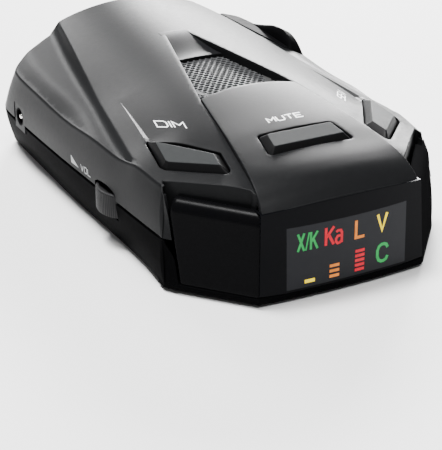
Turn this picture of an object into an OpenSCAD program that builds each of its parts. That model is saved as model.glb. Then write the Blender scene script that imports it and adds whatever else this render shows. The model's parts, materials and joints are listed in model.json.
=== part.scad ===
// Dashboard radar detector: a two-part plastic case with a speaker grille, three push buttons,
// an edge volume wheel, a wrap-round display end and a horn antenna that looks out of the other end.
// Millimetres. +Z is up, -Y is the display end, +Y is the windscreen end, +X is the driver's right.
// The case stands on z = 0 and its footprint is centred on the origin.

/* [Case] */
// height of the crown at the windscreen end
case_h = 32; // [31:0.5:34]
// height of the joint between upper and lower shell
parting_z = 11; // [10.6:0.1:11.4]
// wall thickness of both shells
wall = 1.7; // [1.4:0.1:2.2]
// gap left along every visible joint
seam = 0.25; // [0.15:0.05:0.4]
// height of the lower shell's underside above the table
foot_h = 0.6; // [0.4:0.1:0.9]

/* [Buttons] */
// how far a button's top stands above the case
button_rise = 1.1; // [0.7:0.1:1.5]
// clear gap round a button
button_gap = 0.35; // [0.3:0.05:0.5]
// width of the flange that keeps a button in the case
button_lip = 0.7; // [0.5:0.1:1]

/* [Volume wheel] */
// radius of the wheel's rim
wheel_r = 7; // [6.4:0.1:7]
// height of the rim
wheel_h = 5.2; // [4.4:0.2:5.4]
// number of finger notches round the rim
wheel_notches = 30; // [12:2:36]
// radius of the spindle that the wheel turns on
spindle_r = 1.5; // [1.2:0.1:2]
// radial clearance of the wheel's bore on the spindle
spindle_fit = 0.06; // [0.03:0.01:0.09]

/* [Speaker] */
// distance between grille holes
hole_pitch = 2.2; // [2.1:0.1:3]
// radius of a grille hole
hole_r = 0.7; // [0.4:0.05:0.8]
// outer radius of the speaker
speaker_r = 10.5; // [9:0.5:10.5]

/* [Power socket] */
// radius of the socket's bore
jack_r = 1.75; // [1.5:0.05:2]
// depth of the socket's bore
jack_depth = 9; // [7:0.5:9.5]
// radius of the socket's centre pin
jack_pin_r = 0.65; // [0.5:0.05:0.8]

/* [Windscreen bracket slot] */
// clear width of the slot
slot_w = 22; // [18:1:22]
// clear height of the slot
slot_h = 4.6; // [4.3:0.1:4.8]
// depth of the slot from its mouth
slot_d = 14; // [10:1:14]

/* [Hidden] */
$fn = 64;
eps = 0.01;

// half plan of the case at the joint, from the rear centre round to the display corner
plan_mid = [[0, 52.5], [28, 52.5], [32, 50.2], [34.2, 46.8], [35, 42.5], [34.9, 30.7], [34.4, 10.7],
            [33.6, -6.5], [32.7, -20.2], [31.9, -35.2]];
// the same at the underside
plan_low = [[0, 52.5], [29, 52.5], [31.5, 50.5], [31.8, 30.7], [32, 5.6], [31.4, -13.7], [32, -36.6],
            [18.9, -51.4], [9.9, -52.2], [0, -52.5]];
// line of the crown from the windscreen end to the display, as [y, z] below a 32 mm crown
crown = [[46.5, 32], [23, 31.3], [7, 30.4], [-12, 29.5], [-22, 28.3], [-31.8, 27], [-38.5, 25.7],
         [-44, 24], [-47.6, 21.9], [-50, 19.3]];

// the corner panels run between these two plan points; the ledge above them is set back
corner_a = [30.6, -37];
corner_b = [18.8, -50.9];
panel_top = 19.2;
panel_t = 2;
ledge_a = [29.9, -31.2];
ledge_b = [17.6, -45.1];

// the centre panel lies between two grooves that spread towards the display
panel_back = [11.6, -12.6];
panel_front = [17.7, -50];

wheel_at = [-27.8, -11.2];
wheel_z = 7.1;
jack_y = 34.2;
jack_z = 12.6;
jack_face = 34.4;
screw_at = [[28.2, 43.5], [27.6, -29.5]];
foot_at = [[24, 34], [22, -33]];
board_z = 3.6;
board_t = 1.6;
key_z = 15.4;

module both() {
  children();
  mirror([1, 0, 0]) children();
}

function halves(p) = concat(p, [for (i = [len(p) - 1 : -1 : 0]) [-p[i].x, p[i].y]]);
function inset(p, w) = [for (q = p) [q.x - (q.x > 1 ? w : 0), q.y - sign(q.y) * (abs(q.y) > 45 ? w : 0)]];

// everything under the crown line, lowered by t
module under_crown(t) {
  rotate([90, 0, 90]) linear_extrude(90, center = true)
    polygon(concat([[52.5 - t, parting_z - 3], [50.3 - t, 24 - t], [48.6 - t, 30.4 - t]],
      [for (q = crown) [q.x, q.y - 32 + case_h - t]], [[-52, 10], [-52, parting_z - 3]]));
}

// the arched cross-section: a large cylinder that dips towards the display
module arch(t) {
  translate([0, 0, case_h - 62.3]) rotate([92.4, 0, 0]) cylinder(r = 62 - t, h = 140, center = true, $fn = 180);
}

// frame of a wing's top: x outwards from the ridge, y up and z along the ridge towards the display
module on_wing(t) { translate([21.3, 48.2, 26.2 - t]) rotate([4.67, 0, 7.83]) rotate([90, 0, 0]) children(); }

// the space above the wings, outside the two ridges
module valley(t) {
  both() on_wing(t) translate([0, 0, -12]) linear_extrude(104)
      polygon([[-7 - t, 12], [-2.4 - t, 3.4], [-1.3 - t, 1.6], [0.2, 0.45], [2.6, -0.35], [20, -4.1], [20, 12]]);
}

// plan of the upper shell, stopping at the ledge above the corner panels
module upper_plan(t) {
  polygon(halves(concat(inset(plan_mid, t), [[31.2 - t, -36], [ledge_a.x - t, ledge_a.y + t / 2],
    [ledge_b.x - t / 2, ledge_b.y + t]])));
}

module upper_form(t) {
  difference() {
    intersection() {
      translate([0, 0, parting_z + (t > 0 ? -1 : seam / 2)]) linear_extrude(30) upper_plan(t);
      arch(t);
      under_crown(t);
    }
    valley(t);
  }
}

// plan of the centre panel, widened by w
module panel_plan(w) {
  polygon(halves([[0, panel_back.y + w + 1.4], [6, panel_back.y + w + 1.1], [panel_back.x + w, panel_back.y + w],
    [ledge_b.x - 0.4 + w, ledge_b.y + 0.6], [panel_front.x + w, panel_front.y - 3], [0, panel_front.y - 3]]));
}

// plan of the grille's recess, which narrows to a blunt tip behind the speaker
module recess_plan(w) {
  polygon(halves([[0, 23 + w], [2.7 + w, 23 + w], [panel_back.x + w, panel_back.y - w]]));
}

// frame of each button's top: x and y in its face, z out of the case
module at_mute() { translate([0, -35.1, 26.1]) rotate([11.5, 0, 0]) children(); }
module at_dim() { translate([-22.4, -28.9, 23.5]) rotate([7.3, -15.1, 0]) children(); }
module at_sen() { mirror([1, 0, 0]) at_dim() children(); }
mute_face = [[-8.4, 3.4], [8.4, 3.4], [9.5, -3.4], [-9.5, -3.4]];
side_face = [[-3.6, 12.2], [5.3, -2.7], [3.9, -9.7], [-5.2, 0.2], [-5.6, 1.6]];

// a button outline widened on every side by w
module widened(face, w) {
  span = max([for (q = face) norm(q)]);
  polygon([for (q = face) q * (1 + 1.35 * w / span) + [sign(q.x) * w / 2, sign(q.y) * w / 2]]);
}

module button_cap(face, stem) {
  translate([0, 0, -1.9]) linear_extrude(1.9 + button_rise) polygon(face);
  translate([0, 0, -2.9]) linear_extrude(1) widened(face, button_lip);
  translate([0, 0, -2.9 - stem]) cylinder(r = 1.4, h = stem + 0.5);
}

module button_cut(face) {
  translate([0, 0, -4]) linear_extrude(9) widened(face, button_gap);
  translate([0, 0, -8]) linear_extrude(6.3) widened(face, button_lip + 0.6);
}

module screw_posts(r, z0, z1) {
  both() for (p = screw_at) translate([p.x, p.y, z0]) cylinder(r = r, h = z1 - z0, $fn = 40);
}

module wheel_pocket() {
  translate([wheel_at.x, wheel_at.y, wheel_z - 0.5]) cylinder(r = wheel_r + 0.5, h = wheel_h + 2);
  translate([-31, -14.6, wheel_z - 0.5]) cylinder(r = 5, h = wheel_h + 2);
}

module jack_tab(w) {
  translate([-40, jack_y - 3 - w, jack_z - 3.3 - w]) cube([12, 6 + 2 * w, 6.2 + 2 * w]);
}

module at_window() { translate([0, 50.1, 18.4]) rotate([7.8, 0, 0]) children(); }

module upper_shell() {
  color([0.2, 0.2, 0.21]) difference() {
    union() {
      difference() {
        upper_form(0);
        upper_form(wall);
      }
      intersection() {
        union() {
          screw_posts(3, parting_z + seam / 2, 30);
          both() translate([28, -30.4, parting_z + seam / 2]) cube([3.2, 1.8, 6]);
        }
        upper_form(0.2);
      }
    }
    translate([0, 0, 15.4]) linear_extrude(30) panel_plan(seam);
    translate([0, 0, 15.4]) linear_extrude(30) recess_plan(seam);
    translate([-17.9, -60, 5]) cube([35.8, 16.6, 30]);
    at_mute() button_cut(mute_face);
    at_dim() button_cut(side_face);
    at_sen() button_cut(side_face);
    screw_posts(1.3, 5, 19);
    wheel_pocket();
    jack_tab(0.15);
    at_window() cube([31, 12, 8], center = true);
  }
}

module lower_form(t) {
  hull() {
    translate([0, 0, foot_h + t]) linear_extrude(eps) polygon(halves(inset(plan_low, t)));
    translate([0, 0, parting_z - seam / 2 - eps + (t > 0 ? 1 : 0)]) linear_extrude(eps)
      polygon(halves(concat(inset(plan_mid, t), [[31.2 - t / 2, -36.8 + t], [18.8, -51.1 + t], [0, -52.5 + t]])));
  }
}

module lower_shell() {
  color([0.07, 0.07, 0.075]) difference() {
    union() {
      difference() {
        lower_form(0);
        lower_form(wall);
      }
      screw_posts(3, foot_h + 0.6, parting_z - seam / 2);
    }
    // room for the display and the corner panels, which stand on the floor
    translate([0, 0, foot_h + wall]) linear_extrude(20)
      polygon(halves([[0, -44], [17, -44], [28.6, -31], [30.9, -36.7], [36, -36.7], [36, -60], [0, -60]]));
    screw_posts(1.45, -1, 20);
    screw_posts(2.7, -1, 2.2);
    both() for (p = foot_at) translate([p.x, p.y, -1]) cylinder(r = 3.2, h = 1 + foot_h + 0.7, $fn = 40);
    wheel_pocket();
    jack_tab(0.15);
    translate([-slot_w / 2, 40, 3.9]) cube([slot_w, 20, slot_h]);
  }
}

module centre_panel() {
  color([0.2, 0.2, 0.21]) difference() {
    intersection() {
      difference() {
        under_crown(0);
        under_crown(1.6);
      }
      arch(0);
      translate([0, 0, 17]) linear_extrude(30) difference() {
        panel_plan(0);
        recess_plan(seam);
      }
    }
    translate([-20, -60, 10]) cube([40, 20, 9.4]);
    at_mute() button_cut(mute_face);
  }
}

// the grille lies a little below the surface round it, on the same slope
module at_grille() { translate([0, -0.6, 27.5]) rotate([2, 0, 0]) children(); }

module grille_plan(w) {
  polygon(halves([[0, 23.4 - w], [2.6 - w / 2, 23.4 - w], [11.3 - w, -11.4 + w], [0, -11.4 + w]]));
}

module speaker_grille() {
  rows = floor(21 / (hole_pitch * 0.866));
  color([0.45, 0.46, 0.47]) difference() {
    at_grille() linear_extrude(1.2) grille_plan(0);
    at_grille() for (i = [0 : rows], j = [-5 : 5]) {
      x = (j + (i % 2) / 2) * hole_pitch;
      y = -10 + i * hole_pitch * 0.866;
      if (abs(x) < 11.3 - 0.256 * (y + 11.4) - hole_r - 0.9)
        translate([x, y, -1]) cylinder(r = hole_r, h = 4, $fn = 16);
    }
  }
}

module lens_plan(t) {
  intersection() {
    translate([0, 43.6]) circle(r = 96 - t, $fn = 360);
    translate([-18.4, -53]) square([36.8, 8]);
  }
}

module display_lens() {
  color([0.03, 0.03, 0.035]) translate([0, 0, foot_h + wall + 0.1]) linear_extrude(19 - foot_h - wall - 0.1) difference() {
    lens_plan(0);
    lens_plan(1.5);
  }
}

module corner_panel() {
  along = corner_b - corner_a;
  inward = [along.y, -along.x] * panel_t / norm(along);
  translate([0, 0, foot_h + wall + 0.1]) linear_extrude(panel_top - foot_h - wall - 0.1)
    polygon([corner_a, corner_b, [18.65, corner_b.y + 1.9], corner_a + inward]);
}

module right_corner_panel() { color([0.08, 0.08, 0.085]) corner_panel(); }
module left_corner_panel() { color([0.08, 0.08, 0.085]) mirror([1, 0, 0]) corner_panel(); }

// a dark lens that covers the rear of the right wing and swells along its outer edge
module side_lens() {
  color([0.02, 0.02, 0.02]) intersection() {
    translate([0, 0, 15]) linear_extrude(20)
      polygon([[23.6, 45.6], [31, 42.8], [33.4, 40.2], [34.1, 37], [34.1, 21], [28.6, 21]]);
    union() {
      on_wing(0) linear_extrude(40) polygon([[3.4, -0.47], [14, -2.76], [14, -2.26], [3.4, 0.03]]);
      intersection() {
        on_wing(0) linear_extrude(40) polygon([[3.4, -0.47], [14, -2.76], [14, 4], [3.4, 4]]);
        translate([29.8, 0, 0]) rotate([90, 0, 90]) linear_extrude(5)
          polygon([[41.4, 20], [41.4, 23.3], [34, 24.5], [28, 25.1], [25, 24.7], [22.6, 23.4], [21.2, 22], [21.2, 20]]);
      }
    }
  }
}

module laser_window() { color([0.12, 0.02, 0.03]) at_window() cube([30.6, 1.4, 7.6], center = true); }

module bracket_socket() {
  color([0.1, 0.1, 0.1]) difference() {
    translate([-slot_w / 2 - 1.5, 50.6 - slot_d - 1.5, foot_h + wall]) cube([slot_w + 3, slot_d + 1.5, slot_h + 3.1]);
    translate([-slot_w / 2, 50.6 - slot_d, 3.9]) cube([slot_w, 20, slot_h]);
  }
}

module main_board() {
  color([0.05, 0.25, 0.12]) difference() {
    translate([0, 0, board_z]) linear_extrude(board_t)
      polygon(halves([[0, 34.4], [14, 34.4], [14, 49.4], [24, 49.4], [29, 38], [29, -28], [16, -42.6], [0, -42.6]]));
    screw_posts(3.3, 0, 20);
  }
}

module key_board() {
  color([0.05, 0.25, 0.12]) translate([0, 0, key_z]) linear_extrude(1.2)
    polygon(halves([[0, -31], [9, -31], [12, -20], [23, -20], [24.2, -31], [16, -41.4], [0, -41.4]]));
}

module board_spacers() {
  color([0.7, 0.6, 0.3]) both() for (p = [[13, -38], [15.5, -23]])
    translate([p.x, p.y, board_z + board_t]) cylinder(r = 1.6, h = key_z - board_z - board_t, $fn = 32);
}

module display_board() {
  color([0.05, 0.25, 0.12]) translate([-16, -44.6, foot_h + wall + 0.2]) cube([32, 1.2, 15.6]);
}

module light_guide() {
  color([0.12, 0.12, 0.13]) translate([-15, -48.6, 3]) cube([30, 3.9, 14.6]);
}

// one straight stroke of an icon, from a to b in the plane of the display
module stroke(a, b, w) {
  d = b - a;
  translate(a) rotate(atan2(d.y, d.x)) translate([-w / 2, -w / 2]) square([norm(d) + w, w]);
}
module on_display(x, z) { translate([x, -48.7, z]) rotate([90, 0, 0]) linear_extrude(0.3) children(); }
module path(points, w) { for (i = [0 : len(points) - 2]) stroke(points[i], points[i + 1], w); }

module icon_xk() {
  color([0.1, 0.75, 0.25]) on_display(-11, 10.6) {
    path([[0, 0], [1.3, 3.4]], 0.45);
    path([[0, 3.4], [1.3, 0]], 0.45);
    path([[1.7, 0], [2.4, 3.4]], 0.3);
    path([[2.9, 0], [2.9, 3.4]], 0.45);
    path([[4.2, 3.4], [3, 1.6], [4.2, 0]], 0.45);
  }
}

module icon_ka() {
  color([0.9, 0.1, 0.12]) on_display(-4.9, 10.6) {
    path([[0, 0], [0, 3.4]], 0.5);
    path([[1.4, 3.4], [0.1, 1.6], [1.5, 0]], 0.5);
    path([[2.2, 2], [3.4, 2], [3.4, 0]], 0.45);
    path([[3.4, 1.1], [2.2, 1.1], [2.2, 0.1], [3.4, 0.1]], 0.45);
  }
}

module icon_l() { color([0.95, 0.5, 0.1]) on_display(1.6, 10.8) path([[0, 3.6], [0, 0], [1.7, 0]], 0.55); }
module icon_v() { color([0.95, 0.85, 0.1]) on_display(6.1, 11.1) path([[0, 3.7], [1.1, 0], [2.2, 3.7]], 0.55); }
module icon_c() {
  color([0.1, 0.75, 0.25]) on_display(6.3, 4.9)
    path([[2.3, 2.9], [1.8, 3.5], [0.7, 3.5], [0, 2.7], [0, 0.9], [0.7, 0.1], [1.8, 0.1], [2.3, 0.7]], 0.5);
}

module bars(x, z, n) { for (i = [0 : n - 1]) on_display(x, z + i * 0.95) square([2.3, 0.55]); }
module bars_low() { color([0.95, 0.85, 0.1]) bars(-9.6, 3.6, 1); }
module bars_mid() { color([0.95, 0.5, 0.1]) bars(-3.9, 3.6, 3); }
module bars_high() { color([0.9, 0.1, 0.12]) bars(1.4, 3.6, 5); }

module horn_form(w, y0, y1) {
  hull() {
    translate([-5 - w, y0, 15 - w]) cube([10 + 2 * w, eps, 5 + 2 * w]);
    translate([-14 - w, y1 - eps, 12 - w]) cube([28 + 2 * w, eps, 11 + 2 * w]);
  }
}

module antenna_horn() {
  color([0.62, 0.63, 0.65]) {
    difference() {
      horn_form(1, 16, 46);
      horn_form(0, 18, 46.2);
    }
    translate([-7, 13.6, 13.4]) cube([14, 3, 8.2]);
    translate([-11, 2, board_z + board_t]) cube([22, 12, 14.2]);
  }
}

module rf_module() {
  color([0.05, 0.25, 0.12]) translate([-9, 3, 19.4]) cube([18, 10, 1.2]);
  color([0.7, 0.7, 0.72]) translate([-7, 4, 20.6]) cube([14, 8, 1]);
}

module laser_sensor() {
  color([0.06, 0.06, 0.06]) translate([-5, 38, 24.2]) cube([10, 7, 3.4]);
  color([0.1, 0.02, 0.02]) translate([0, 45, 25.9]) rotate([-90, 0, 0]) cylinder(r = 1.6, h = 1.2, $fn = 40);
}

module speaker() {
  color([0.1, 0.1, 0.1]) at_grille() {
    translate([0, -0.4, -3.2]) cylinder(r = speaker_r, h = 2.4);
    translate([0, -0.4, -5.6]) cylinder(r = 6, h = 2.5);
  }
}

module speaker_gasket() {
  color([0.15, 0.15, 0.15]) at_grille() translate([0, -0.4, -0.8]) difference() {
    cylinder(r = speaker_r, h = 0.8);
    translate([0, 0, -1]) cylinder(r = speaker_r - 1.5, h = 3);
  }
}

module dc_jack() {
  color([0.05, 0.05, 0.05]) difference() {
    union() {
      translate([-jack_face, jack_y - 3, jack_z - 3.3]) cube([jack_face - 30.2, 6, 6.2]);
      translate([-30.4, jack_y - 3.9, board_z + board_t]) cube([8.2, 7.8, 11.4]);
    }
    translate([-35, jack_y, jack_z]) rotate([0, 90, 0]) cylinder(r = jack_r, h = 0.8 + jack_depth, $fn = 48);
  }
}

module jack_pin() {
  color([0.85, 0.83, 0.78]) translate([0.8 - jack_face, jack_y, jack_z]) rotate([0, 90, 0])
    cylinder(r = jack_pin_r, h = jack_depth - 0.6, $fn = 32);
}

module volume_pot() {
  color([0.2, 0.3, 0.5]) translate([wheel_at.x - 2.4, wheel_at.y - 3.6, board_z + board_t]) cube([7.6, 7.2, 1.3]);
  color([0.75, 0.75, 0.75]) translate([wheel_at.x, wheel_at.y, board_z + board_t + 1.2])
    cylinder(r = spindle_r, h = wheel_z + wheel_h - board_z - board_t - 0.9, $fn = 48);
}

module volume_wheel() {
  color([0.12, 0.12, 0.12]) translate([wheel_at.x, wheel_at.y, wheel_z]) difference() {
    cylinder(r = wheel_r, h = wheel_h, $fn = 90);
    translate([0, 0, -1]) cylinder(r = spindle_r + spindle_fit, h = wheel_h + 2, $fn = 48);
    for (i = [0 : wheel_notches - 1]) rotate(i * 360 / wheel_notches)
      translate([wheel_r + 0.15, 0, -1]) cylinder(r = 0.35, h = wheel_h + 2, $fn = 14);
  }
}

module mute_button() { color([0.25, 0.26, 0.27]) at_mute() button_cap(mute_face, 2); }
module dim_button() { color([0.25, 0.26, 0.27]) at_dim() button_cap(side_face, 0.6); }
module sen_button() { color([0.25, 0.26, 0.27]) at_sen() button_cap(side_face, 0.6); }

module tactile_switch() {
  color([0.1, 0.1, 0.1]) translate([-3, -3, 0]) cube([6, 6, 2.2]);
  color([0.6, 0.6, 0.6]) cylinder(r = 1.5, h = 2.6, $fn = 40);
}
module mute_switch() { translate([0, -36, key_z + 1.2]) tactile_switch(); }
module dim_switch() { translate([-20.6, -28.6, key_z + 1.2]) rotate(0) tactile_switch(); }
module sen_switch() { mirror([1, 0, 0]) translate([-20.6, -28.6, key_z + 1.2]) tactile_switch(); }

module case_screws() {
  color([0.6, 0.6, 0.62]) {
    screw_posts(2.4, 1, 2.2);
    screw_posts(1.25, 2.1, 17);
  }
}

module rubber_feet() {
  color([0.06, 0.06, 0.06]) both() for (p = foot_at) translate([p.x, p.y, 0]) cylinder(r = 3, h = foot_h + 0.65, $fn = 40);
}

upper_shell();
lower_shell();
centre_panel();
speaker_grille();
display_lens();
left_corner_panel();
right_corner_panel();
side_lens();
laser_window();
bracket_socket();
main_board();
key_board();
board_spacers();
display_board();
light_guide();
icon_xk();
icon_ka();
icon_l();
icon_v();
icon_c();
bars_low();
bars_mid();
bars_high();
antenna_horn();
rf_module();
laser_sensor();
speaker();
speaker_gasket();
dc_jack();
jack_pin();
volume_pot();
volume_wheel();
mute_button();
dim_button();
sen_button();
mute_switch();
dim_switch();
sen_switch();
case_screws();
rubber_feet();
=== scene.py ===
"""A dashboard radar detector: moulded case, display, buttons and volume wheel, built round the CAD part.

Lengths are in millimetres until a mesh is made. The case is symmetric about x = 0, with the display at low y.
"""

import json
import math

import bmesh
import bpy
import numpy as np
from mathutils import Matrix, Vector
from mathutils.geometry import delaunay_2d_cdt
from mathutils.kdtree import KDTree


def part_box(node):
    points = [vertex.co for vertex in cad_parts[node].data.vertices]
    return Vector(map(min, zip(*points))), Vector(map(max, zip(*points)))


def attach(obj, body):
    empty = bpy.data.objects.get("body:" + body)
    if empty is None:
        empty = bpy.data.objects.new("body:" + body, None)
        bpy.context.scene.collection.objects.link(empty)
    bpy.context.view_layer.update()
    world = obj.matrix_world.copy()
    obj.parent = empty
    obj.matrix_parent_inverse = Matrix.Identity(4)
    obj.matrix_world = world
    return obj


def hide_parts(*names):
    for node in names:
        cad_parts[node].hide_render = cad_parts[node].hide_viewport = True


MM = 0.001
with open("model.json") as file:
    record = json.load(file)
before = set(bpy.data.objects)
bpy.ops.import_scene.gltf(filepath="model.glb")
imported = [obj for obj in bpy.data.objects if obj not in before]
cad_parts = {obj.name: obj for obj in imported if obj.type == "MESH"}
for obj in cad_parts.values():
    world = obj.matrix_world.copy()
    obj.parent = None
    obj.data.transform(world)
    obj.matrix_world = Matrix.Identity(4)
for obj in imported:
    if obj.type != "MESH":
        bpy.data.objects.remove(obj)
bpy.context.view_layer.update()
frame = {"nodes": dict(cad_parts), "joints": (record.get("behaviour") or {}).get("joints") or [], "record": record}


def box_mm(node):
    """Lowest and highest corner of a CAD node, in millimetres."""
    low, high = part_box(node)
    return np.array(low) / MM, np.array(high) / MM


def joint_centre(name):
    """Where a hinge of the record stands, in millimetres."""
    joint = next(j for j in frame["joints"] if j["name"] == name)
    return np.array(joint["pos_m"]) / MM


# ---------------------------------------------------------------- camera
EYE = np.array([-138.9, -260.9, 135.3])
AZIMUTH, ELEVATION, ROLL = math.radians(-28.05), math.radians(25.94), math.radians(0.3)
FOCAL_LENGTH = 114.15


def add_object(name, data):
    """A new object in the scene."""
    obj = bpy.data.objects.new(name, data)
    bpy.context.scene.collection.objects.link(obj)
    return obj


def make_camera():
    level = math.cos(ELEVATION)
    look = Vector((-math.sin(AZIMUTH) * level, math.cos(AZIMUTH) * level, -math.sin(ELEVATION)))
    data = bpy.data.cameras.new("camera")
    data.sensor_width = 36
    data.lens = FOCAL_LENGTH
    data.clip_start, data.clip_end = 0.01, 20
    camera = add_object("camera", data)
    turn = look.to_track_quat("-Z", "Y").to_matrix() @ Matrix.Rotation(ROLL, 3, "Z")
    camera.matrix_world = Matrix.Translation(Vector(EYE * MM)) @ turn.to_4x4()
    bpy.context.scene.camera = camera


make_camera()


# ---------------------------------------------------------------- form of the case
def smooth_curve(*points):
    """A smooth function of its first coordinate through the points."""
    xs, ys = np.array(sorted(points), float).T
    slope = np.gradient(ys, xs)

    def at(x):
        x = np.clip(x, xs[0], xs[-1])
        i = np.clip(np.searchsorted(xs, x) - 1, 0, len(xs) - 2)
        h = xs[i + 1] - xs[i]
        t = (x - xs[i]) / h
        return (
            (2 * t**3 - 3 * t**2 + 1) * ys[i]
            + (t**3 - 2 * t**2 + t) * h * slope[i]
            + (3 * t**2 - 2 * t**3) * ys[i + 1]
            + (t**3 - t**2) * h * slope[i + 1]
        )

    return at


def smooth_min(a, b, k):
    h = np.clip(0.5 + 0.5 * (b - a) / k, 0, 1)
    return b + (a - b) * h - k * h * (1 - h)


def smooth_max(a, b, k):
    return -smooth_min(-a, -b, k)


def ramp(x, low, high):
    t = np.clip((x - low) / (high - low), 0, 1)
    return t * t * (3 - 2 * t)


crown_z = smooth_curve(
    (-50.5, 19.3), (-48.8, 21.2), (-46.5, 22.9), (-44, 24.1), (-38.5, 25.8), (-31.8, 27.1),
    (-22, 28.4), (-12, 29.5), (7, 30.5), (23, 31.2), (40, 31.8), (49, 31.9),
)
ridge_z = smooth_curve(
    (-40, 20.2), (-31, 21.0), (-24.3, 21.7), (-15.3, 22.3), (-5.3, 23.2), (6.7, 24.2), (23, 26.3),
    (28.7, 27.0), (38, 28.0), (47, 28.6), (51, 28.7),
)
ridge_x = smooth_curve(
    (-45, 31.0), (-32, 31.2), (-24.5, 31.1), (-12, 29.3), (6.7, 26.2), (28, 22.4), (51, 17.9),
)
panel_curve = smooth_curve((-50, 0.0018), (-40, 0.003), (-32, 0.0038), (-12, 0.0062))
RIDGE_STEEPNESS = 1.9
GROOVE_BACK, GROOVE_FRONT = np.array([11.7, -12.5]), np.array([18.2, -50.2])
RECESS_TIP = np.array([2.7, 23.2])
LEDGE_OUT, LEDGE_IN = np.array([29.7, -31.3]), np.array([17.4, -45.3])
PANEL_OUT, PANEL_IN = np.array([30.5, -36.3]), np.array([18.6, -50.7])
PARTING = box_mm("upper_shell")[0][2]
UNDERSIDE = box_mm("lower_shell")[0][2]
LENS_HALF = box_mm("display_lens")[1][0]
LENS_BOW = 1.7
# half width and front of the lens at its top corners, and how far both spread at the bottom corners
LENS_TOP, LENS_FLARE = np.array([18.3, -50.55]), np.array([0.7, -1.25])
# outer edge of a corner panel at its foot and under its bullnose, and its inner edge beside the lens
PANEL_FOOT, PANEL_Z = np.array([30.0, -39.6]), (2.45, 16.2)
# the dents behind the side buttons run from a sharp tip to the button
DENT_TIP, DENT_END = np.array([23.5, 2.2]), np.array([26.3, -16.6])
DENT_DEPTH, DENT_SLOPE = 0.65, 0.65


def wing_z(x, y):
    """The flat top of a wing, which falls outwards and towards the display."""
    return 26.2 - 0.206 * (np.abs(x) - 21.3) + 0.0544 * (y - 48.2)


def dent(a, y):
    """Depth of the dent behind a side button: a small wall on its outer side, fading towards the crown."""
    t = np.clip((DENT_TIP[1] - y) / (DENT_TIP[1] - DENT_END[1]), 0, 1)
    inwards = DENT_TIP[0] + (DENT_END[0] - DENT_TIP[0]) * t - a
    fade = np.exp(-((np.maximum(inwards, 0) / 5.5) ** 2)) * ramp(y, -26, -17)
    return np.clip(inwards * DENT_SLOPE, 0, DENT_DEPTH * t) * fade


def shell_z(x, y):
    """Height of the upper shell: the arched crown between the ridges and the wings outside them."""
    a = np.abs(x)
    xr, zr, zc = ridge_x(y), ridge_z(y), crown_z(y)
    crown = zc - (zc - zr) * (a / xr) ** 2
    crown = crown - 0.7 * np.exp(-(((a - 21) / 8) ** 2) - ((y + 33) / 9) ** 2)
    flank = smooth_max(zr - RIDGE_STEEPNESS * (a - xr), wing_z(x, y), 2.6)
    return smooth_min(crown, flank, 0.25) - dent(a, y)


def panel_z(x, y):
    """Height of the centre panel, which rolls over to meet the bowed top edge of the lens."""
    bow = 1 - (x / LENS_HALF) ** 2
    front = ramp(-y, 36, 50)
    return crown_z(y + LENS_BOW * bow * front) - panel_curve(y) * x * x + bow * front


def recess_z(x, y):
    """The ramp that leads down from the crown to the speaker grille."""
    depth = 1.5 * ramp(-y, -23.5, -11.5)
    return crown_z(y) - 0.006 * x * x - depth


# half outlines of the case, point for point, from the rear centre to the column beside a corner panel
TOP = np.array([
    (0, 50.6), (17.3, 50.2), (21.6, 48.3), (25.2, 46.3), (30.2, 43.2), (33.0, 40.8), (33.9, 37.6), (34.1, 30),
    (33.7, 10), (32.8, -8), (31.9, -20), (31.0, -30), (30.5, -33.4),
])
MIDDLE = np.array([
    (0, 52.4), (15, 52.2), (24, 51.7), (29.4, 50.3), (33.2, 47.6), (34.6, 44.6), (34.98, 41), (34.9, 30.7),
    (34.4, 10.7), (33.6, -6.5), (32.9, -20.2), (32.3, -31), (31.95, -35.7),
])
BOTTOM = np.array([
    (0, 52.4), (15, 52.4), (24, 52.3), (28.6, 51.9), (30.7, 50.6), (31.4, 48.4), (31.6, 44), (31.8, 30.7),
    (32.0, 8), (31.5, -9), (31.3, -24), (31.8, -31.6), (32.15, -36.8),
])


# ---------------------------------------------------------------- mesh helpers
def resample(points, step, counts=None):
    """Points along an open line at about the given step, or with fixed counts for each of its segments."""
    out = []
    for i in range(len(points) - 1):
        stride = points[i + 1] - points[i]
        n = counts[i] if counts is not None else max(1, round(np.linalg.norm(stride) / step))
        out += [points[i] + stride * j / n for j in range(n)]
    return np.array(out + [points[-1]])


def rounded(points, fine=12):
    """A smooth line through a half outline that starts on the middle plane, with equal counts per span."""
    p = np.vstack([points[1] * [-1, 1], points, 2 * points[-1] - points[-2]])
    out = []
    for i in range(1, len(p) - 2):
        for t in np.arange(fine) / fine:
            out.append(
                0.5 * (2 * p[i] + (p[i + 1] - p[i - 1]) * t
                       + (2 * p[i - 1] - 5 * p[i] + 4 * p[i + 1] - p[i + 2]) * t**2
                       + (3 * p[i] - p[i - 1] - 3 * p[i + 1] + p[i + 2]) * t**3)
            )
    return np.array(out + [points[-1]])


def mirrored(half):
    """Closes a half outline into a loop, without repeating points on the middle plane."""
    other = half[::-1] * [-1, 1]
    other = other[np.abs(other[:, 0]) > 1e-6]
    return np.vstack([half, other])


def outward(loop):
    """Unit normals in plan of a closed loop, pointing to the right of its direction."""
    d = np.roll(loop, -1, 0) - np.roll(loop, 1, 0)
    d /= np.linalg.norm(d, axis=1)[:, None] + 1e-12
    n = np.stack([d[:, 1], -d[:, 0]], 1)
    x, y = loop.T
    area = np.sum(x * np.roll(y, -1) - y * np.roll(x, -1))
    return n if area > 0 else -n


def inside(loop, points):
    """Which points are inside a closed loop."""
    x, y = points.T
    hit = np.zeros(len(points), bool)
    for (x0, y0), (x1, y1) in zip(loop, np.roll(loop, -1, 0)):
        if y0 != y1:
            hit ^= ((y0 > y) != (y1 > y)) & (x < (x1 - x0) * (y - y0) / (y1 - y0) + x0)
    return hit


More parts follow.
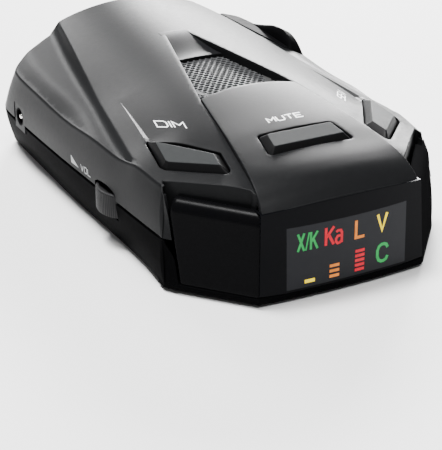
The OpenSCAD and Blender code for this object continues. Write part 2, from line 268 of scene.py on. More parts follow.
def side_wall_x(y, z):
    """Half width of the upper shell's side wall at a height a little above the parting line."""
    mid, top = rounded(MIDDLE), rounded(TOP)
    front = slice(6 * 12, None)
    x_mid = np.interp(-y, -mid[front, 1], mid[front, 0])
    x_top = np.interp(-y, -top[front, 1], top[front, 0])
    t = (z - PARTING - 0.25) / (20.3 - PARTING)
    return float(x_mid + (x_top - x_mid) * t + 0.35 * math.sin(math.pi * min(max(t, 0), 1)))


class Builder:
    """Collects faces in millimetres and welds them into one object."""

    def __init__(self):
        self.points, self.faces = [], []

    def add(self, points, faces):
        base = len(self.points)
        self.points += [tuple(p) for p in points]
        self.faces += [tuple(base + i for i in f) for f in faces]

    def rings(self, rings, closed=True):
        """Joins rows of points, each with the same count, by quads."""
        n = len(rings[0])
        last = n if closed else n - 1
        faces = [
            (r * n + i, r * n + (i + 1) % n, (r + 1) * n + (i + 1) % n, (r + 1) * n + i)
            for r in range(len(rings) - 1)
            for i in range(last)
        ]
        self.add(np.vstack(rings), faces)

    def fan(self, ring, middle):
        """Closes a ring with triangles round a middle point."""
        n = len(ring)
        self.add([*ring, middle], [(i, (i + 1) % n, n) for i in range(n)])

    def fill(self, loops, height, step=0.7, lines=(), up=True):
        """Triangulates the area inside the first loop and outside the others, at the given height."""
        verts, edges = [], []
        for k, line in enumerate([*loops, *lines]):
            base, n = len(verts), len(line)
            verts += [Vector(p) for p in line]
            edges += [(base + i, base + i + 1) for i in range(n - 1)]
            if k < len(loops):
                edges.append((base + n - 1, base))
        if step:
            tree = KDTree(len(verts))
            for i, v in enumerate(verts):
                tree.insert((v.x, v.y, 0), i)
            tree.balance()
            low, high = loops[0].min(0), loops[0].max(0)
            ys = np.arange(low[1] + step / 2, high[1], step * 0.87)
            xs = np.arange(low[0], high[0], step)
            grid = np.array([(x + (step / 2 if j % 2 else 0), y) for j, y in enumerate(ys) for x in xs])
            keep = inside(loops[0], grid)
            for hole in loops[1:]:
                keep &= ~inside(hole, grid)
            verts += [Vector(p) for p in grid[keep] if tree.find((p[0], p[1], 0))[2] > step * 0.55]
        flat, _, faces, *_ = delaunay_2d_cdt(verts, edges, [], 0, 1e-6)
        flat = np.array([tuple(v) for v in flat])
        faces = np.array([f for f in faces if len(f) == 3])
        middle = flat[faces].mean(1)
        keep = inside(loops[0], middle)
        for hole in loops[1:]:
            keep &= ~inside(hole, middle)
        faces = faces[keep]
        if not up:
            faces = faces[:, ::-1]
        z = height(flat[:, 0], flat[:, 1])
        self.add(np.column_stack([flat, np.broadcast_to(z, len(flat))]), faces)

    def finish(self, name, material, body="case", node=None, sharp=32):
        mesh = bpy.data.meshes.new(name)
        mesh.from_pydata([Vector(p) * MM for p in self.points], [], self.faces)
        work = bmesh.new()
        work.from_mesh(mesh)
        bmesh.ops.remove_doubles(work, verts=work.verts, dist=2e-6)
        loose = [v for v in work.verts if not v.link_faces]
        bmesh.ops.delete(work, geom=loose, context="VERTS")
        bmesh.ops.recalc_face_normals(work, faces=work.faces)
        work.to_mesh(mesh)
        work.free()
        shade(mesh, sharp)
        mesh.materials.append(material)
        return place(add_object(name, mesh), body, node)


def place(obj, body, node=None):
    """Hangs a piece on its CAD body and hides the CAD node that it stands for."""
    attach(obj, body)
    if node:
        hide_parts(*([node] if isinstance(node, str) else node))
    return obj


def shade(mesh, sharp):
    """Smooth shading with hard edges where faces meet at more than the given angle."""
    work = bmesh.new()
    work.from_mesh(mesh)
    for f in work.faces:
        f.smooth = True
    for e in work.edges:
        e.smooth = len(e.link_faces) == 2 and e.calc_face_angle(0) < math.radians(sharp)
    work.to_mesh(mesh)
    work.free()


def cut(obj, cutters, sharp=32):
    """Takes the cutters away from a closed piece."""
    for tool in cutters:
        change = obj.modifiers.new("cut", "BOOLEAN")
        change.operation, change.object, change.solver = "DIFFERENCE", tool, "EXACT"
    graph = bpy.context.evaluated_depsgraph_get()
    mesh = bpy.data.meshes.new_from_object(obj.evaluated_get(graph))
    material = obj.data.materials[0]
    obj.modifiers.clear()
    obj.data = mesh
    mesh.materials.clear()
    mesh.materials.append(material)
    shade(mesh, sharp)
    for tool in cutters:
        bpy.data.objects.remove(tool)


def cutter(rings):
    """A closed solid through rings of points, to be cut from a piece."""
    n = len(rings[0])
    last = n * (len(rings) - 1)
    faces = [tuple(range(n)), tuple(range(last + n - 1, last - 1, -1))]
    for k in range(0, last, n):
        faces += [(k + i, k + (i + 1) % n, k + n + (i + 1) % n, k + n + i) for i in range(n)]
    mesh = bpy.data.meshes.new("cutter")
    mesh.from_pydata([Vector(p) * MM for p in np.vstack(rings)], [], faces)
    work = bmesh.new()
    work.from_mesh(mesh)
    bmesh.ops.recalc_face_normals(work, faces=work.faces)
    work.to_mesh(mesh)
    work.free()
    return add_object("cutter", mesh)


def level(loop, z):
    """A plan loop lifted to a height, which is one number or one for each point."""
    return np.column_stack([loop, np.broadcast_to(z, len(loop))])


def prism(loop, z0, z1):
    return cutter([level(loop, z0), level(loop, z1)])


def rolled_edge(path, out, z, radius):
    """Rows of points that roll the edge of a sheet over by a quarter turn."""
    turns = np.radians([0, 22, 45, 68, 90])
    return [level(path + out * radius * math.sin(a), z - radius * (1 - math.cos(a))) for a in turns]


def four_places(node, inset):
    """The corners of a CAD node's box in plan, drawn in by the inset."""
    low, high = box_mm(node)
    return [(x, y) for x in (low[0] + inset, high[0] - inset) for y in (low[1] + inset, high[1] - inset)]


def circle(x, y, r, n=64):
    t = np.arange(n) * 2 * math.pi / n
    return np.column_stack([x + r * np.cos(t), y + r * np.sin(t)])


# ---------------------------------------------------------------- materials
def new_material(name):
    material = bpy.data.materials.new(name)
    material.use_nodes = True
    tree = material.node_tree
    return material, tree, tree.nodes["Principled BSDF"]


def noise(tree, scale, detail=3.0, roughness=0.55):
    """Noise fixed to the piece, whose scale is in cells per metre."""
    where = tree.nodes.new("ShaderNodeTexCoord")
    node = tree.nodes.new("ShaderNodeTexNoise")
    node.inputs["Scale"].default_value = scale
    node.inputs["Detail"].default_value = detail
    node.inputs["Roughness"].default_value = roughness
    tree.links.new(where.outputs["Object"], node.inputs["Vector"])
    return node.outputs["Fac"]


def between(tree, factor, low, high, start=0.35, end=0.65):
    """Spreads a noise value over a range of plain numbers."""
    node = tree.nodes.new("ShaderNodeMapRange")
    for key, value in zip(("From Min", "From Max", "To Min", "To Max"), (start, end, low, high)):
        node.inputs[key].default_value = value
    tree.links.new(factor, node.inputs["Value"])
    return node.outputs["Result"]


def shades(tree, factor, dark, light, start=0.3, end=0.7):
    """A colour that wanders between two shades."""
    node = tree.nodes.new("ShaderNodeValToRGB")
    node.color_ramp.elements[0].position, node.color_ramp.elements[1].position = start, end
    node.color_ramp.elements[0].color, node.color_ramp.elements[1].color = (*dark, 1), (*light, 1)
    tree.links.new(factor, node.inputs["Fac"])
    return node.outputs["Color"]


def bump(tree, bsdf, height, distance, strength=1.0, under=None):
    node = tree.nodes.new("ShaderNodeBump")
    node.inputs["Strength"].default_value = strength
    node.inputs["Distance"].default_value = distance
    tree.links.new(height, node.inputs["Height"])
    if under is not None:
        tree.links.new(under, node.inputs["Normal"])
    tree.links.new(node.outputs["Normal"], bsdf.inputs["Normal"])
    return node.outputs["Normal"]


def plastic(name, colour, rough, grain=0.00002, spread=0.03, coat=0.0, tint=0.05, specular=0.5):
    """Moulded plastic: a fine spark texture, a wandering sheen and slightly uneven colour."""
    material, tree, bsdf = new_material(name)
    low = tuple(c * (1 - tint) for c in colour)
    high = tuple(c * (1 + tint) for c in colour)
    tree.links.new(shades(tree, noise(tree, 700, 4), low, high), bsdf.inputs["Base Color"])
    sheen = between(tree, noise(tree, 900, 5, 0.7), rough - spread, rough + spread)
    tree.links.new(sheen, bsdf.inputs["Roughness"])
    fine = bump(tree, bsdf, noise(tree, 5200, 2), grain, 0.6)
    bump(tree, bsdf, noise(tree, 1500, 3), grain * 1.5, 0.35, under=fine)
    bsdf.inputs["Coat Weight"].default_value = coat
    bsdf.inputs["Coat Roughness"].default_value = 0.12
    bsdf.inputs["Specular IOR Level"].default_value = specular
    return material


def glowing(name, colour, strength):
    """A lit icon: saturated colour with a little uneven glow."""
    material, tree, bsdf = new_material(name)
    low = tuple(c * 0.85 for c in colour)
    tint = shades(tree, noise(tree, 900, 2), low, colour)
    dark, light = (tuple(c * share for c in colour) for share in (0.12, 0.2))
    deep = shades(tree, noise(tree, 900, 2), dark, light)
    tree.links.new(deep, bsdf.inputs["Base Color"])
    tree.links.new(tint, bsdf.inputs["Emission Color"])
    bsdf.inputs["Specular IOR Level"].default_value = 0.1
    tree.links.new(between(tree, noise(tree, 700, 2), 0.3, 0.45), bsdf.inputs["Roughness"])
    bsdf.inputs["Emission Strength"].default_value = strength
    return material


def metal(name, colour, rough, scale=2500):
    material, tree, bsdf = new_material(name)
    bsdf.inputs["Metallic"].default_value = 1.0
    low = tuple(c * 0.85 for c in colour)
    tree.links.new(shades(tree, noise(tree, 400, 4), low, colour), bsdf.inputs["Base Color"])
    tree.links.new(between(tree, noise(tree, scale, 4), rough * 0.7, rough * 1.3), bsdf.inputs["Roughness"])
    bump(tree, bsdf, noise(tree, scale, 2), 0.00001, 0.5)
    return material


CASE = plastic("case_grey", (0.0074, 0.0076, 0.0081), 0.37, grain=0.000014, specular=0.034)
BLACK = plastic("case_black", (0.002, 0.002, 0.0022), 0.5, grain=0.000015, specular=0.003)
MESH = plastic("grille_grey", (0.05, 0.051, 0.053), 0.45, grain=0.000008, specular=0.04)
LENS = plastic("lens_black", (0.002, 0.0021, 0.0027), 0.14, grain=0.0000005, specular=0.03)
SCREEN = plastic("screen", (0.010, 0.0105, 0.0125), 0.34, grain=0.000001, specular=0.08)
GLOSS = plastic("panel_gloss", (0.002, 0.002, 0.0023), 0.27, grain=0.000001, specular=0.022)
# lighter matt copy of the panel gloss: a painted reflection on the right corner panel
MATT_PAINTED_REFLECTION = plastic("panel_matt_painted_reflection", (0.005, 0.005, 0.0053), 0.5, grain=0.000001, specular=0.0)
WINDOW = plastic("window_red", (0.035, 0.004, 0.006), 0.1, grain=0.000002, coat=0.6)
INNER = plastic("inner_black", (0.012, 0.012, 0.012), 0.5)
BOARD = plastic("board_green", (0.012, 0.09, 0.035), 0.35)
SOFT = plastic("soft_black", (0.012, 0.012, 0.012), 0.75, grain=0.00004)
WHEEL = plastic("wheel_black", (0.012, 0.012, 0.0125), 0.42, grain=0.00001, specular=0.08)
BUTTON = plastic("button_grey", (0.02, 0.0215, 0.022), 0.5, grain=0.000006, specular=0.03)
# a darker copy of the button grey: painted shade on the caps' sloped sides
BUTTON_PAINTED_SHADE = plastic("button_painted_shade", (0.004, 0.004, 0.0043), 0.42, grain=0.000006, specular=0.06)
# near black: the socket's sleeve, and the painted shade laid over the right wing
SLEEVE_AND_PAINTED_SHADE = plastic("black_sleeve_and_painted_shade", (0.003, 0.003, 0.0033), 0.4, grain=0.000002, specular=0.004)
PRINT = plastic("print_white", (0.86, 0.87, 0.86), 0.5, grain=0.000004)
PRINT_DIM = plastic("print_grey", (0.32, 0.33, 0.33), 0.5, grain=0.000004)
BRASS = metal("spacer_brass", (0.75, 0.6, 0.3), 0.3)
CAST = metal("cast_metal", (0.6, 0.61, 0.63), 0.5)
PLATED = metal("pin_metal", (0.86, 0.84, 0.8), 0.2)
STEEL = metal("screw_steel", (0.55, 0.55, 0.57), 0.32)
LIT = {
    "green": glowing("icon_green", (0.015, 0.42, 0.09), 1.0),
    "red": glowing("icon_red", (0.8, 0.008, 0.03), 1.0),
    "orange": glowing("icon_orange", (0.95, 0.27, 0.03), 1.0),
    "yellow": glowing("icon_yellow", (1.0, 0.74, 0.0), 1.6),
}
SLOTS = {
    "case_grey": CASE, "case_black": BLACK, "grille_grey": MESH, "lens_black": LENS,
    "panel_gloss": GLOSS, "side_black": SLEEVE_AND_PAINTED_SHADE,
    "window_red": WINDOW, "inner_black": INNER, "board_green": BOARD, "spacer_brass": BRASS,
    "cast_metal": CAST, "soft_black": SOFT, "pin_metal": PLATED, "wheel_black": WHEEL,
    "button_grey": BUTTON, "screw_steel": STEEL, "icon_green": LIT["green"], "icon_red": LIT["red"],
    "icon_orange": LIT["orange"], "icon_yellow": LIT["yellow"],
}
for part in frame["record"]["subparts"]:
    mesh = frame["nodes"][part["node"]].data
    mesh.materials.clear()
    mesh.materials.append(SLOTS[part["material_slot"]])


# ---------------------------------------------------------------- buttons' places
class Facing:
    """A flat local frame on the case: x and y lie in a button's face, z points out of the case."""

    def __init__(self, centre, rx, ry, side=1):
        turn = Matrix.Rotation(math.radians(ry), 3, "Y") @ Matrix.Rotation(math.radians(rx), 3, "X")
        self.turn = np.array(turn) * np.array([[side], [1], [1]])
        self.centre = np.array(centre, float) * [side, 1, 1]

    def to_case(self, points):
        return np.asarray(points, float) @ self.turn.T + self.centre

    def plan(self, loop, z=0.0):
        """Where a loop in the face lands in plan."""
        return self.to_case(level(loop, z))


MUTE = Facing((0, -35.1, 26.1), 11.5, 0)
DIM = Facing((-22.4, -28.9, 23.5), 7.3, -15.1)
SEN = Facing((-22.4, -28.9, 23.5), 7.3, -15.1, side=-1)
MUTE_FACE = np.array([(-8.4, 3.4), (8.4, 3.4), (9.5, -3.4), (-9.5, -3.4)])
SIDE_FACE = np.array([(-3.6, 12.2), (5.3, -2.7), (3.9, -9.7), (-5.2, 0.2), (-5.6, 1.6)])
BUTTON_GAP = 0.34
BUTTON_RISE = 1.05


def soften(corners, radius, step=0.35):
    """A closed loop through corners that are each rounded by an arc, with points at about the given step."""
    n = len(corners)
    bends = []
    for i in range(n):
        before, corner, after = corners[i - 1], corners[i], corners[(i + 1) % n]
        reach = np.linalg.norm(before - corner), np.linalg.norm(after - corner)
        u, v = (before - corner) / reach[0], (after - corner) / reach[1]
        half = math.acos(np.clip(u @ v, -1, 1)) / 2
        back = min(radius / math.tan(half), 0.45 * min(reach))
        bends.append((corner + u * back, corner, corner + v * back))
    out = []
    for i, (p, corner, q) in enumerate(bends):
        out += [(1 - t) ** 2 * p + 2 * t * (1 - t) * corner + t * t * q for t in np.linspace(0, 1, 7)]
        end = bends[(i + 1) % n][0]
        count = max(1, int(np.linalg.norm(end - q) / step))
        out += [q + (end - q) * j / count for j in range(1, count)]
    return np.array(out)


def grown(loop, distance):
    return loop + outward(loop) * distance


# ---------------------------------------------------------------- upper shell
def hole_down(build, facing, face, height, radius, depth):
    """The rounded mouth and the walls of a button's hole. Returns its loop in the sheet, in plan."""
    loop = soften(face, 0.8)
    wide = facing.plan(grown(loop, BUTTON_GAP + radius))[:, :2]
    edge = facing.plan(grown(loop, BUTTON_GAP))[:, :2]
    rings = []
    for k in range(5):
        a = math.pi / 2 * k / 4
        p = wide + (edge - wide) * math.sin(a)
        rings.append(level(p, height(*wide.T) - radius * (1 - math.cos(a))))
    down = facing.turn[:, 2] * depth
    rings.append(rings[-1] - down)
    build.rings(rings)
    build.fan(rings[-1], rings[-1].mean(0))
    return wide


def make_upper_shell():
    build = Builder()
    top, mid = rounded(TOP), rounded(MIDDLE)
    crease, lean = 1.1, math.radians(78)
    # rings from the sheet's rim, over the rounded shoulder and down the wall to the parting line
    inner = top - outward_open(top) * crease * 0.55
    rim_z = shell_z(inner[:, 0], inner[:, 1])
    rings = [level(inner, rim_z)]
    for k in range(1, 7):
        a = lean * k / 6
        p = inner + (top - inner) * math.sin(a) / math.sin(lean)
        rings.append(level(p, rim_z - crease * (1 - math.cos(a))))
    start = rings[-1]
    lower = level(mid, PARTING + 0.25)
    for t in np.linspace(0, 1, 14)[1:]:
        swell = 0.35 * math.sin(math.pi * t)
        ring = start + (lower - start) * t
        ring[:, :2] += outward_open(mid) * swell * ramp(mid[:, 1], 60, 40)[:, None]
        rings.append(ring)
    tuck = level(mid - outward_open(mid) * 0.25, PARTING)
    rings.append(tuck)
    bay = [LEDGE_OUT, LEDGE_IN, GROOVE_FRONT + [-0.9, 3.4], GROOVE_BACK, RECESS_TIP, RECESS_TIP * [0, 1]]
    for side in (1, -1):
        build.rings([r * [side, 1, 1] for r in rings], closed=False)
    # the bay of the centre panel and the grille, with the ledges in front of the two side buttons
    path = resample(np.array([inner[-1], *bay]), 0.5)
    plan = mirrored(np.vstack([inner, path[1:]]))
    path = path[1:]
    out = outward(plan)[len(inner) : len(inner) + len(path)]
    edge_rings = rolled_edge(path, out, shell_z(*path.T), 0.28)
    edge_rings.append(level(path + out * 0.28, PARTING))
    for side in (1, -1):
        build.rings([r * [side, 1, 1] for r in edge_rings], closed=False)
        # the front face of the column, from the wall to the ledge
        column = [rings[0][-1], *[r[-1] for r in rings[1:]]]
        fan = [r[0] for r in edge_rings]
        face = np.array([*column, *fan[::-1]]) * [side, 1, 1]
        build.add(face, [tuple(range(len(face)))])
    floor = mirrored(np.vstack([tuck[:, :2], edge_rings[-1][:, :2]]))
    holes = [hole_down(build, f, SIDE_FACE, shell_z, 0.22, 5.5) for f in (DIM, SEN)]
    ys = np.arange(-30.5, 47.5, 0.8)
    lines = []
    for d in (-2.2, -1.2, -0.6, -0.25, 0.0, 0.25, 0.55, 0.95, 1.4, 1.9, 2.5, 3.2, 4.0, 5.0):
        line = np.column_stack([ridge_x(ys) + d, ys])
        for side in (1, -1):
            whole = line * [side, 1]
            keep = inside(plan, whole)
            for hole in holes:
                keep &= ~inside(grown(hole, 0.4), whole)
            keep &= np.array([np.min(np.hypot(*(plan - p).T)) > 0.5 for p in whole])
            breaks = np.where(np.diff(np.where(keep)[0]) > 1)[0] + 1
            runs = np.split(whole[keep], breaks) if keep.any() else []
            lines += [r for r in runs if len(r) > 1]
    for side in (1, -1):
        for share in (0, 0.5, 1):
            start, end = (DENT_TIP + (DENT_END - DENT_TIP) * t - [share * DENT_DEPTH * t / DENT_SLOPE, 0]
                          for t in (0.06, 0.95))
            lines.append(resample(np.array([start, end]), 0.4) * [side, 1])
    build.fill([plan, *holes], shell_z, 0.75, lines)
    build.fill([floor], lambda x, y: PARTING, 0, up=False)
    return build.finish("upper_case", CASE, node="upper_shell", sharp=28)


def outward_open(half):
    """Plan normals of a half outline, as part of the whole loop."""
    return outward(mirrored(half))[: len(half)]


def wheel_pocket():
    """Cutters for the scoop in the side wall round the volume wheel."""
    x, y, _ = joint_centre("volume_turn")
    low, high = box_mm("volume_wheel")
    r = (high[1] - low[1]) / 2
    steps = ((low[2] - 0.35, 0.3), (high[2] + 0.15, 0.3), (high[2] + 0.8, -0.4), (high[2] + 1.6, -2.4))
    return [cutter([level(circle(x, y, r + grow, 72), z) for z, grow in steps])]


def jack_recess():
    """Cutter for the shallow tab round the power socket."""
    low, high = box_mm("dc_jack")
    middle = (low[1] + high[1]) / 2
    outside, inside_wall, half = -37, -33.9, 3.1
    corners = [(outside, -half), (inside_wall, -half), (inside_wall, half), (outside, half)]
    return [prism(soften(np.array(corners) + [0, middle], 0.05), 9.2, 15.4)]


upper = make_upper_shell()
cut(upper, wheel_pocket() + jack_recess(), sharp=28)


# ---------------------------------------------------------------- centre panel and grille
def make_centre_panel():
    build = Builder()
    groove, back_bow = 0.55, 1.3
    x = np.linspace(0, GROOVE_BACK[0] - groove, 24)
    back = np.column_stack([x, GROOVE_BACK[1] + back_bow * (1 - (x / GROOVE_BACK[0]) ** 2)])
    side = resample(np.array([back[-1], GROOVE_FRONT - [groove, 0.0]]), 0.5)
    x = np.linspace(GROOVE_FRONT[0] - groove, 0, 36)
    front = np.column_stack([x, GROOVE_FRONT[1] - LENS_BOW * (1 - (x / LENS_HALF) ** 2)])
    loop = mirrored(np.vstack([back, side[1:-1], front]))
    rings = rolled_edge(loop, outward(loop), panel_z(*loop.T), 0.22)
    rings.append(rings[-1] - [0, 0, 1.5])
    build.rings(rings)
    hole = hole_down(build, MUTE, MUTE_FACE, panel_z, 0.22, 4.5)
    build.fill([loop, hole], panel_z, 0.7)
    build.fill([rings[-1][:, :2]], lambda x, y: np.minimum(panel_z(x, y) - 1.7, 24), 1.2, up=False)
    build.finish("centre_panel_skin", CASE, node="centre_panel", sharp=30)


# how far the pressed mesh lies below the ramp
MESH_DROP = 0.7


def make_grille():
    """The sunk ramp behind the speaker and its pressed mesh, a plate of staggered oval holes."""
    pitch_x, pitch_y, hole_x, hole_y = 1.5, 0.98, 0.57, 0.39
    build = Builder()
    rows = int((11.5 + 12.4) / pitch_y)
    for j in range(rows):
        for i in range(-9, 10):
            cx = (i + (j % 2) / 2) * pitch_x
            cy = -12.2 + j * pitch_y
            reach = 11.6 - (cy + 12.5) * 0.255
            if abs(cx) > reach + 0.8:
                continue
            t = np.arange(12) * math.pi / 6 + math.pi / 12
            turn = np.column_stack([np.cos(t), np.sin(t)])
            square = turn / np.abs(turn).max(1)[:, None]
            ring = turn * [hole_x, hole_y] + [cx, cy]
            lip = turn * [hole_x + 0.09, hole_y + 0.09] + [cx, cy]
            cell = square * [pitch_x / 2, pitch_y / 2] + [cx, cy]
            rows = ((cell, 0.0), (lip, 0.0), (ring, 0.07), (ring, 0.6))
            build.rings([level(p, recess_z(*p.T) - MESH_DROP - drop) for p, drop in rows])
    build.finish("grille_mesh", MESH, node="speaker_grille", sharp=40)
    ramp_build = Builder()
    lip = resample(np.array([(-6.9, 10.6), (6.9, 10.6)]), 0.6)
    plan = np.vstack([[(3.6, 24.2), (-3.6, 24.2)], lip])
    ramp_build.fill([plan], recess_z, 0.6)
    edge = np.column_stack([lip, recess_z(*lip.T)])
    ramp_build.rings([edge, edge - [0, 0.12, 0.12], edge - [0, 0.12, MESH_DROP + 0.5]], closed=False)
    ramp_build.finish("grille_ramp", CASE)


make_centre_panel()
make_grille()


# ---------------------------------------------------------------- display lens and corner panels
def lens_point(u, v):
    """A point of the bowed lens for u in -1..1 across and v in 0..1 up: wider and further out below."""
    bow = 1 - u * u
    bottom, top = 2.6 - 0.6 * bow, 19.3 + 1.0 * bow
    half, front = LENS_TOP + LENS_FLARE * (1 - v)
    return np.array([u * half, front - LENS_BOW * bow * (0.5 + 0.5 * v), bottom + (top - bottom) * v])


def lens_surface(x, z, lift=0.03):
    """A point on the lens, or a hair in front of it, for a place seen from the front."""
    low, high = (lens_point(x / LENS_HALF, v)[2] for v in (0, 1))
    v = (z - low) / (high - low)
    p = lens_point(x / lens_point(1, v)[0], v)
    return (x, p[1] - lift, z)


# the lit area of the display behind the lens: left, right, bottom and top
SCREEN_AREA = (-13.2, 14.4, 2.75, 15.9)


def make_lens():
    build = Builder()
    across, up = 72, 24
    us, vs = np.linspace(-1, 1, across + 1), np.linspace(0, 1, up + 1)
    front = [np.array([lens_point(u, v) for u in us]) for v in vs]
    edge = 0.08
    first = [front[0] + [0, 1.6, 0], front[0] + [0, edge, -edge * 0.6]]
    last = [front[-1] + [0, edge, edge * 0.3], front[-1] + [0, 1.6, 0]]
    build.rings([*first, *front, *last], closed=False)
    for column in (0, -1):
        side = np.array([r[column] for r in [*first, *front, *last]])
        inwards = -0.3 * np.sign(side[0][0])
        build.rings([side, side + [0, edge, 0], side + [inwards, 1.6, 0]], closed=False)
    build.finish("lens", LENS, node="display_lens")
    patch = Builder()
    left, right, bottom, top = SCREEN_AREA
    xs, zs = np.linspace(left, right, 60), np.linspace(bottom, top, 22)
    patch.rings([np.array([lens_surface(x, z, 0.012) for x in xs]) for z in zs], closed=False)
    patch.finish("lens_screen", SCREEN)


def panel_edges(z):
    """The outer and the inner edge of a corner panel in plan at a height: both spread towards the foot."""
    t = np.clip((z - PANEL_Z[0]) / (PANEL_Z[1] - PANEL_Z[0]), 0, 1)
    foot_in = LENS_TOP + LENS_FLARE + [0.25, 0.0]
    return PANEL_FOOT + (PANEL_OUT - PANEL_FOOT) * t, foot_in + (PANEL_IN - foot_in) * t


def make_corner_panel(side):
    """A tall panel with a broad bullnosed top, between the case's side and the lens."""
    along = (PANEL_IN - PANEL_OUT) / np.linalg.norm(PANEL_IN - PANEL_OUT)
    out = np.array([-along[1], along[0]])
    foot, shoulder = PANEL_Z
    nose_in, nose_up, inner_wall = 2.7, 3.0, -3.2
    profile = [(-0.12, foot), (0.0, foot + 0.3)] + [(0.0, z) for z in np.linspace(foot + 1, shoulder, 14)]
    for t in np.radians(np.arange(8, 91, 8.2)):
        profile.append((-nose_in * (1 - math.cos(t)), shoulder + nose_up * math.sin(t)))
    crest = shoulder + nose_up
    profile += [(inner_wall + 0.2, crest - 0.1), (inner_wall, crest - 0.6), (inner_wall, foot)]
    length = np.linalg.norm(PANEL_IN - PANEL_OUT)
    ends = np.array([0.0, 0.12, 0.35])
    stations = [*ends, *np.linspace(0.9, length - 0.9, 26), *(length - ends[::-1])]
    rows = []
    for s in stations:
        tuck = 0.22 * max(0.0, 1 - min(s, length - s) / 0.35) ** 2
        row = []
        for o, z in profile:
            outer, inner = panel_edges(z)
            p = outer + (inner - outer) * s / length + out * (o - tuck)
            row.append((p[0] * side, p[1], z - (tuck if z > shoulder else 0)))
        rows.append(np.array(row))
    build = Builder()
    build.rings(rows, closed=True)
    for row in (rows[0], rows[-1]):
        build.add(row, [tuple(range(len(row)))])
    name = "right" if side > 0 else "left"
    # the right panel is a matt, lighter copy of the left one's gloss, a painted reflection: at the camera's low
    # angle a glossy one mirrors the pale floor
    material = GLOSS if side < 0 else MATT_PAINTED_REFLECTION
    build.finish(f"{name}_corner", material, node=f"{name}_corner_panel", sharp=38)


def make_pillars(name, z_low, z_high, wall, material):
    """The case's pillars between its side walls and the corner panels, whose front faces widen downwards."""
    build = Builder()
    root, taper, softness, depth = np.array([29.6, -34.6]), 4.5, 0.22, np.array([0.0, 2.6])
    for side in (1, -1):
        rings = []
        for z in np.linspace(z_low, z_high, 24):
            outer = wall(z)
            edge = panel_edges(z)[0] + [0.28, 0.2]
            top = ramp(z, z_high - taper, z_high) ** 1.5
            edge = edge + (outer - edge) * top * 0.8
            inner = root + (outer - root) * top * 0.5
            front, back = (outer + (q - outer) * softness for q in (edge, outer + depth))
            section = [inner + [0.0, 3.0], outer + depth - [0.05, 0.0], back,
                       outer * 0.3 + (front + back) * 0.35, front, edge, inner]
            rings.append(np.array([(q[0] * side, q[1], z) for q in section]))
        build.rings(rings)
        build.add(rings[0], [tuple(range(len(rings[0])))])
        build.add(rings[-1], [tuple(range(len(rings[-1])))])
    build.finish(name, material, sharp=40)


def upper_pillar(z):
    """Where the upper wall ends beside a corner panel, at a height."""
    t = np.clip((z - PARTING) / (20.0 - PARTING), 0, 1)
    return MIDDLE[-1] + (TOP[-1] - MIDDLE[-1]) * t


def lower_pillar(z):
    """The same for the lower wall."""
    t = np.clip((z - UNDERSIDE) / (PARTING - UNDERSIDE), 0, 1)
    return BOTTOM[-1] + (MIDDLE[-1] - BOTTOM[-1]) * t


make_lens()
make_corner_panel(1)
make_corner_panel(-1)
make_pillars("upper_pillars", PARTING + 0.05, 19.5, upper_pillar, CASE)
make_pillars("lower_pillars", UNDERSIDE + 0.3, PARTING - 0.2, lower_pillar, BLACK)


# ---------------------------------------------------------------- lower shell
def make_lower_shell():
    build = Builder()
    mid, low = rounded(MIDDLE), rounded(BOTTOM)
    seam_z = box_mm("lower_shell")[1][2]
    rings = [level(mid - outward_open(mid) * 0.3, seam_z), level(mid, seam_z - 0.25)]
    foot = level(low, UNDERSIDE + 0.9)
    start = rings[-1]
    for t in np.linspace(0, 1, 12)[1:]:
        ring = start + (foot - start) * t
        ring[:, :2] += outward_open(low) * 0.3 * math.sin(math.pi * t) * ramp(low[:, 1], 60, 40)[:, None]
        rings.append(ring)
    for a in np.radians([22, 45, 68, 90]):
        p = low - outward_open(low) * 0.9 * (1 - math.cos(a))
        rings.append(level(p, UNDERSIDE + 0.9 * (1 - math.sin(a))))
    front = resample(np.array([low[-1], [28.0, -31.4], [16.5, -44.5], [0, -44.5]]), 1.5)[1:]
    for side in (1, -1):
        flip = np.array([side, 1, 1])
        build.rings([r * flip for r in rings], closed=False)
        build.rings([level(front, z) * flip for z in (seam_z, UNDERSIDE)], closed=False)
        wall = np.array([*[r[-1] for r in rings], (*front[0], UNDERSIDE), (*front[0], seam_z)]) * flip
        build.add(wall, [tuple(range(len(wall)))])
    for ring, up in ((rings[0], True), (rings[-1], False)):
        build.fill([mirrored(np.vstack([ring[:, :2], front]))], lambda x, y: ring[0][2], 0, up=up)
    shell = build.finish("lower_case", BLACK, node="lower_shell", sharp=30)
    # the lip under the display and the corner panels
    lip = Builder()
    corner = LENS_TOP + LENS_FLARE + [0.2, -0.15]
    outer = PANEL_FOOT + [0.1, -0.1]
    x = np.linspace(corner[0] - 1, 0, 16)
    front = np.column_stack([x, corner[1] - 0.5 * LENS_BOW * (1 - (x / corner[0]) ** 2)])
    back = np.array([[0, -40.0], [28, -31.2], [31.4, -35.4], BOTTOM[-1]])
    loop = mirrored(np.vstack([back, resample(np.array([outer, corner]), 1.0), front]))
    n = outward(loop)
    steps = ((0.25, 2.35), (0.0, 2.1), (0.0, 1.35), (0.25, 0.8), (0.8, UNDERSIDE))
    sheets = [level(loop - n * d, z) for d, z in steps]
    lip.rings(sheets)
    lip.fill([sheets[0][:, :2]], lambda x, y: 2.35, 0)
    lip.fill([sheets[-1][:, :2]], lambda x, y: UNDERSIDE, 0, up=False)
    lip.finish("lower_lip", BLACK, sharp=30)
    return shell


lower = make_lower_shell()
slot_low, slot_high = (np.array(c) / MM for c in frame["record"]["physics"]["openings"][0]["box_m"])
mouth = soften(np.array([(-11, 36.8), (11, 36.8), (11, 60), (-11, 60)]), 0.1, 4)
cutters = wheel_pocket() + jack_recess() + [prism(mouth, slot_low[2] - 0.15, slot_high[2] + 0.15)]
for node, radius, depth in (("rubber_feet", 3.2, 1.25), ("case_screws", 2.7, 2.2)):
    cutters += [prism(circle(x, y, radius, 48), -1, depth) for x, y in four_places(node, radius - 0.25)]
cut(lower, cutters, sharp=30)


